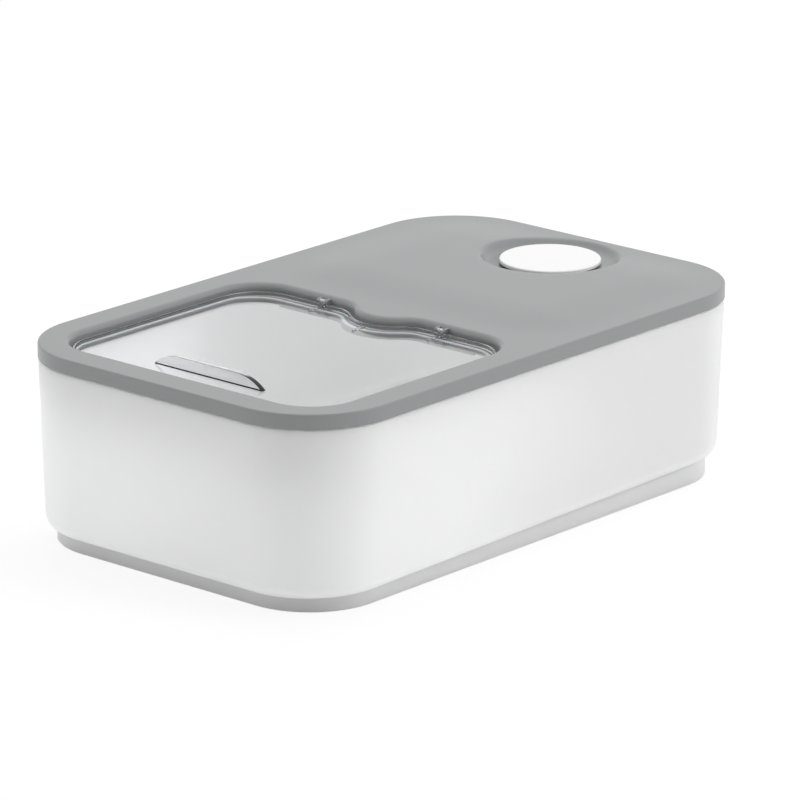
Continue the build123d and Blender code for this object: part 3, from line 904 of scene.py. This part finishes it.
lug_bores = [pin_hole(side * hinge_x, lug_bore, hinge_span + cut_past) for side in (-1, 1)]
joined(lid, lug_bores, "DIFFERENCE")
cleaned(lid, lid_grey)
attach(lid, "lid")
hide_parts("lid_frame")

# ---------------------------------------------------------------- cover seal
# A flat milky silicone ring that lies on the ledge, under the clear cover.
seal_low, seal_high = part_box("cover_seal")
seal_width = 2.2 * mm
seal_side = ledge_side - 0.4 * mm - seal_width / 2
seal_rear = ledge_rear - 0.4 * mm - seal_width / 2
seal_milk = soft_rubber(
    "seal_milk", (0.60, 0.615, 0.63), 0.03, 0.5, 0.3 * mm, 0.008 * mm, glow_through=0.6
)
seal = moulded_strip(
    "seal_ring",
    window_loop(seal_side, seal_rear, (seal_low[2] + seal_high[2]) / 2),
    seal_width,
    seal_high[2] - seal_low[2],
    0.25 * mm,
    seal_milk,
)
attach(seal, "lid")
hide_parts("cover_seal")

# ---------------------------------------------------------------- hinge pins
# Two short pins of drawn steel, pushed through the lid's lugs and the cover's ears.


def drawn_steel(name):
    """Steel wire with the fine lines of its drawing along X."""
    material, tree, shader, where = new_look(name)
    shader.inputs["Metallic"].default_value = 1.0
    stretched = put(tree, "ShaderNodeMapping", {"Vector": where, "Scale": (150, 9000, 9000)})
    lines = put(tree, "ShaderNodeTexNoise", {"Vector": stretched.outputs[0], "Scale": 1, "Detail": 3})
    finished(tree, shader, lines.outputs[0], ((0.36, 0.36, 0.37), (0.52, 0.52, 0.53)), (0.28, 0.5))
    embossed(tree, shader, lines.outputs[0], 0.3, 0.005 * mm)
    return material


pin_steel = drawn_steel("pin_steel")
for side in ("left", "right"):
    finish_node(f"hinge_pin_{side}", pin_steel)

# ---------------------------------------------------------------- clear flip cover
# A clear polished tray that hinges at the window's rear edge, with a finger tab
# standing up at its front and three ribs at its hinge side. It is one moulding.
cover_gap = 1.4 * mm
cover_wall = 1.6 * mm
cover_z, tab_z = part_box("flip_cover")[0][2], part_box("flip_cover")[1][2]
rim_top = lid_z - 4.5 * mm
pane_z = lid_z - 6.5 * mm
pane_middle = (pane_z + cover_z) / 2
base_round = 0.5 * mm
rim_round = cover_wall / 2
wall_foot_round = 1.0 * mm
tab_y = window_front + 22.9 * mm
tab_thickness = 3.4 * mm
tab_half_top = 22 * mm
tab_half_base = 42 * mm
tab_round = 0.9 * mm
arch_steps = 16
knuckle_gap = 0.35 * mm
ear_width = 4.0 * mm
ear_bore = pin_radius + 0.06 * mm
pane_rib_width = 1.4 * mm
pane_rib_rise = 0.7 * mm
pane_rib_length = 12 * mm


def clear_plastic(name):
    """Clear polished plastic, which lets lamps through and has a breath of fine scuffs."""
    material, tree, shader, where = new_look(name)
    shader.inputs["Transmission Weight"].default_value = 1.0
    shader.inputs["IOR"].default_value = 1.49
    scuffs = put(tree, "ShaderNodeTexNoise", {"Vector": where, "Scale": 30, "Detail": 6}).outputs[0]
    finished(tree, shader, scuffs, ((0.965, 0.975, 0.985), (0.985, 0.99, 0.995)), (0.01, 0.05))
    open_shader = put(tree, "ShaderNodeBsdfTransparent", {"Color": (0.98, 0.985, 0.99, 1)})
    shadow = put(tree, "ShaderNodeLightPath").outputs["Is Shadow Ray"]
    mixed = put(tree, "ShaderNodeMixShader", {0: shadow, 1: shader.outputs[0], 2: open_shader.outputs[0]})
    tree.links.new(mixed.outputs[0], tree.nodes["Material Output"].inputs["Surface"])
    return material


def cover_loop(inset, z):
    """The cover's outline, which follows the window's."""
    return window_loop(cover_gap + inset, cover_gap + inset, z)


cover_bm = bmesh.new()
pane_edge = cover_wall + wall_foot_round
add_skin(cover_bm, [
    cover_loop(2 * base_round, cover_z),
    *rounding(cover_loop, base_round, cover_z + base_round, base_round, 270, -90, 4),
    *rounding(cover_loop, rim_round, rim_top - rim_round, rim_round, 180, -180, 10),
    *rounding(cover_loop, pane_edge, pane_z + wall_foot_round, wall_foot_round, 180, 90, 4),
    cover_loop(pane_edge + wall_foot_round / 2, pane_z),
], ends="closed")
clear = clear_plastic("clear_cover")
cover = new_piece("clear_cover", cover_bm)
cleaned(cover, clear)

run = tab_half_base - tab_half_top
rise = tab_z - pane_z
arch_radius = (run**2 + rise**2) / (2 * rise)
arch_turn = asin(run / arch_radius)
arch = [(tab_half_base, tab_y, pane_middle)]
for step in range(arch_steps + 1):
    a = arch_turn * (1 - step / arch_steps)
    arch.append((tab_half_top + arch_radius * sin(a), tab_y, tab_z - arch_radius * (1 - cos(a))))
arch += [(-x, y, z) for x, y, z in reversed(arch)]
tab = slab("tab", arch, (0, tab_thickness, 0))
soften = tab.modifiers.new("soften", "BEVEL")
soften.width = tab_round
soften.segments = 4
soften.limit_method = "ANGLE"
soften.angle_limit = radians(50)

cuts = []
extras = [tab]
ear_back = window_rear - cover_gap
ear_front = hinge_y - knuckle_radius
notch_z = hinge_z - knuckle_radius - knuckle_gap
for side in (-1, 1):
    notch_half = hinge_span / 2 + knuckle_gap
    back, front = ear_back + cut_past, ear_front - knuckle_gap
    notch = [(back, notch_z), (front, notch_z), (front, lid_z), (back, lid_z)]
    notch = [(side * hinge_x - notch_half, y, z) for y, z in notch]
    cuts.append(slab("notch", notch, (2 * notch_half, 0, 0)))
    tail = [(ear_front, pane_middle), (ear_back, pane_middle), (ear_back, hinge_z)]
    extras.append(knuckle(side * hinge_x, ear_width, knuckle_radius, tail))
rib_back = ear_back - cover_wall / 2
for x, y in ((-hinge_x, rib_back), (0, rib_back - bump_height), (hinge_x, rib_back)):
    half = pane_rib_width / 2
    block = [
        (x - half, y, pane_middle), (x + half, y, pane_middle),
        (x + half, y, pane_z + pane_rib_rise), (x - half, y, pane_z + pane_rib_rise),
    ]
    extras.append(slab("pane_rib", block, (0, -pane_rib_length, 0)))
joined(cover, cuts, "DIFFERENCE")
joined(cover, extras, "UNION")
joined(cover, [pin_hole(side * hinge_x, ear_bore, 2 * ear_width) for side in (-1, 1)], "DIFFERENCE")
cleaned(cover, clear, crease=35)
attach(cover, "cover")
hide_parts("flip_cover")

# ---------------------------------------------------------------- absorber cup
# A white cup that hangs by its flange in the lid's collar. Eight vents in its
# base let the air of the bin reach the sachet, and a groove holds its ring.
cup_low, cup_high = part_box("absorber_cup")
cup_radius = 23.2 * mm
cup_wall = 1.5 * mm
cup_foot = cup_radius - 0.8 * mm
cup_round = 2.0 * mm
cup_edge = 0.3 * mm
vent_circle = 11 * mm
vent_radius = 1.8 * mm
vent_count = 8
flange_radius = cup_high[0]
ring_low, ring_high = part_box("absorber_ring")
ring_width = 1.8 * mm
groove_play = 0.03 * mm
groove_radius = ring_high[0] - ring_width - groove_play
groove_low = ring_low[2] - groove_play
groove_high = ring_high[2] + groove_play
vent_tree, given, result = new_tree("cup_vents", {
    "Circle": "Float", "Vent Radius": "Float", "Vents": "Int", "Middle": "Vector", "Depth": "Float",
})
ring_spots = put(vent_tree, "GeometryNodeMeshCircle", {
    "Vertices": given["Vents"], "Radius": given["Circle"],
})
drill = put(vent_tree, "GeometryNodeMeshCylinder", {
    "Vertices": 32, "Radius": given["Vent Radius"], "Depth": given["Depth"],
})
drills = put(vent_tree, "GeometryNodeInstanceOnPoints", {
    "Points": ring_spots.outputs[0], "Instance": drill.outputs[0],
})
placed = put(vent_tree, "GeometryNodeTransform", {
    "Geometry": drills.outputs[0], "Translation": given["Middle"],
})
drilled = [made_real(vent_tree, placed.outputs[0])]
vent_tree.links.new(solids_joined(vent_tree, "DIFFERENCE", given["Geometry"], drilled), result)


def cup_side(z):
    """Radius of the cup's tapered wall at height z."""
    return cup_foot + (z - cup_low[2]) / (dish_z - cup_low[2]) * (cup_radius - cup_foot)


cup_bm = bmesh.new()
cup_profile = [(cup_foot - cup_round, cup_low[2])]
cup_profile += arc(cup_foot - cup_round, cup_low[2] + cup_round, cup_round, -90, 90, 6)
cup_profile += [
    (cup_side(groove_low), groove_low), (groove_radius, groove_low),
    (groove_radius, groove_high), (cup_side(groove_high), groove_high),
    (cup_radius, dish_z), (flange_radius - cup_edge, dish_z), (flange_radius, dish_z + cup_edge),
    (flange_radius, cup_high[2] - cup_edge), (flange_radius - cup_edge, cup_high[2]),
    (cup_radius - cup_wall + cup_edge, cup_high[2]), (cup_radius - cup_wall, cup_high[2] - cup_edge),
    (cup_radius - cup_wall, dish_z), (cup_foot - cup_wall, cup_low[2] + cup_wall + cup_round / 2),
    (cup_foot - cup_wall - cup_round / 2, cup_low[2] + cup_wall),
]
add_skin(cup_bm, [dish_loop(r, z) for r, z in cup_profile], ends="closed")
cup = new_piece("absorber_cup_body", cup_bm)
cup_white = moulded_plastic("cup_white", (0.75, 0.75, 0.735), 0.015, 0.45, 0.4 * mm, 0.02 * mm)
cleaned(cup, cup_white)
grown(cup, vent_tree, {
    "Circle": vent_circle,
    "Vent Radius": vent_radius,
    "Vents": vent_count,
    "Middle": (0, dish_y, cup_low[2]),
    "Depth": 4 * cup_wall,
    "Material": cup_white,
})
cleaned(cup, cup_white)
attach(cup, "absorber")
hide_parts("absorber_cup")

# ---------------------------------------------------------------- absorber ring
# A soft silicone ring stretched into the cup's groove, which holds it in the collar.
ring_milk = soft_rubber(
    "ring_milk", (0.52, 0.54, 0.55), 0.03, 0.5, 0.3 * mm, 0.01 * mm, glow_through=0.6
)
ring = moulded_strip(
    "cup_ring",
    dish_loop(ring_high[0] - ring_width / 2, (ring_low[2] + ring_high[2]) / 2),
    ring_width,
    ring_high[2] - ring_low[2],
    0.5 * mm,
    ring_milk,
)
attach(ring, "absorber")
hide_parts("absorber_ring")

# ---------------------------------------------------------------- drying sachet
# A round pouch of non-woven cloth full of drying beads. Its two halves are
# sealed in a flat crimped rim that pulls the cloth into small puckers.
sachet_low, sachet_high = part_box("absorber_sachet")
sachet_radius = sachet_high[0] - 0.2 * mm
rim_flat = 2.2 * mm
rim_thickness = 0.5 * mm
sachet_middle = (sachet_low[2] + sachet_high[2]) / 2
sachet_half = (sachet_high[2] - sachet_low[2]) / 2 - 0.4 * mm
pucker_count = 22
pucker_height = 0.5 * mm
crimp_count = 88
crimp_height = 0.08 * mm
bead_size = 2.6 * mm
bead_height = 0.35 * mm
around = 176
pouch_rings = 30
rings_to_rim = 1.4


def pouch_height(radius, turn_angle, side):
    """Half thickness of the pouch: full in the middle, puckered towards its sealed rim."""
    body = sachet_radius - rim_flat
    if radius >= body:
        crimp = crimp_height * sin(turn_angle * crimp_count)
        return side * (rim_thickness / 2 + crimp)
    share = radius / body
    swell = (1 - share**3.2) ** 0.62
    pucker = pucker_height * share**4 * (1 - share**12) * sin(turn_angle * pucker_count + side)
    spot = Vector((radius * cos(turn_angle), radius * sin(turn_angle), side)) / bead_size
    lumps = bead_height * noise.noise(spot) * swell
    return side * (rim_thickness / 2 + (sachet_half - rim_thickness / 2) * swell + pucker + lumps)


def sachet_cloth(name):
    """White non-woven cloth: laid fibres, a pattern of bonded points and a soft sheen."""
    material, tree, shader, where = new_look(name)
    fibres = put(tree, "ShaderNodeTexNoise", {
        "Vector": where, "Scale": 1800, "Detail": 6, "Distortion": 2.5,
    }).outputs[0]
    points = put(tree, "ShaderNodeTexVoronoi", {"Vector": where, "Scale": 900, "Randomness": 0.15})
    bonded = put(tree, "ShaderNodeMapRange", {
        "Value": points.outputs["Distance"], "From Min": 0.12, "From Max": 0.3,
    })
    finished(tree, shader, fibres, ((0.62, 0.62, 0.58), (0.78, 0.78, 0.745)), (0.8, 0.98))
    shader.inputs["Sheen Weight"].default_value = 0.4
    height = put(tree, "ShaderNodeMath", {0: fibres, 1: bonded.outputs[0]}, operation="ADD")
    embossed(tree, shader, height.outputs[0], 0.7, 0.08 * mm)
    return material


sachet_bm = bmesh.new()
shares = [step / pouch_rings for step in range(1, pouch_rings + 1)]
radii = [sachet_radius * (1 - (1 - share) ** rings_to_rim) for share in shares]
pouch_loops = []
for side, order in ((-1, radii), (1, radii[::-1])):
    for radius in order:
        loop = []
        for step in range(around):
            a = step / around * 2 * pi
            z = sachet_middle + pouch_height(radius, a, side)
            loop.append((radius * cos(a), dish_y + radius * sin(a), z))
        pouch_loops.append(loop)
add_skin(sachet_bm, pouch_loops, ends="closed")
sachet = new_piece("drying_sachet", sachet_bm)
cleaned(sachet, sachet_cloth("sachet_cloth"), crease=60)
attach(sachet, "absorber")
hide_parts("absorber_sachet")

# ---------------------------------------------------------------- absorber cap
# The white cap of the moisture absorber, a moulded disc that plugs its cup.
cap_low, cap_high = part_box("absorber_cap")
cap_radius = cap_high[0]
cap_edge = 1.0 * mm
cap_bevel = 0.3 * mm
cap_base = cap_high[2] - 2.4 * mm
plug_radius = cup_radius - cup_wall - 0.2 * mm
plug_wall = 1.6 * mm
cap_profile = [
    (plug_radius - plug_wall, cap_base), (plug_radius - plug_wall, cap_low[2]),
    (plug_radius - cap_bevel, cap_low[2]), (plug_radius, cap_low[2] + cap_bevel),
    (plug_radius, cap_base), (cap_radius - cap_bevel, cap_base), (cap_radius, cap_base + cap_bevel),
]
cap_profile += arc(cap_radius - cap_edge, cap_high[2] - cap_edge, cap_edge, 0, 90, 6)
cap_profile.append((cap_radius - 1.6 * cap_edge, cap_high[2]))
cap_bm = bmesh.new()
add_skin(cap_bm, [dish_loop(r, z) for r, z in cap_profile], ends="closed")
cap = new_piece("absorber_cap_disc", cap_bm)
cleaned(cap, moulded_plastic("cap_white", (0.75, 0.75, 0.75), 0.008, 0.21, 0.8 * mm, 0.006 * mm))
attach(cap, "absorber")
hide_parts("absorber_cap")
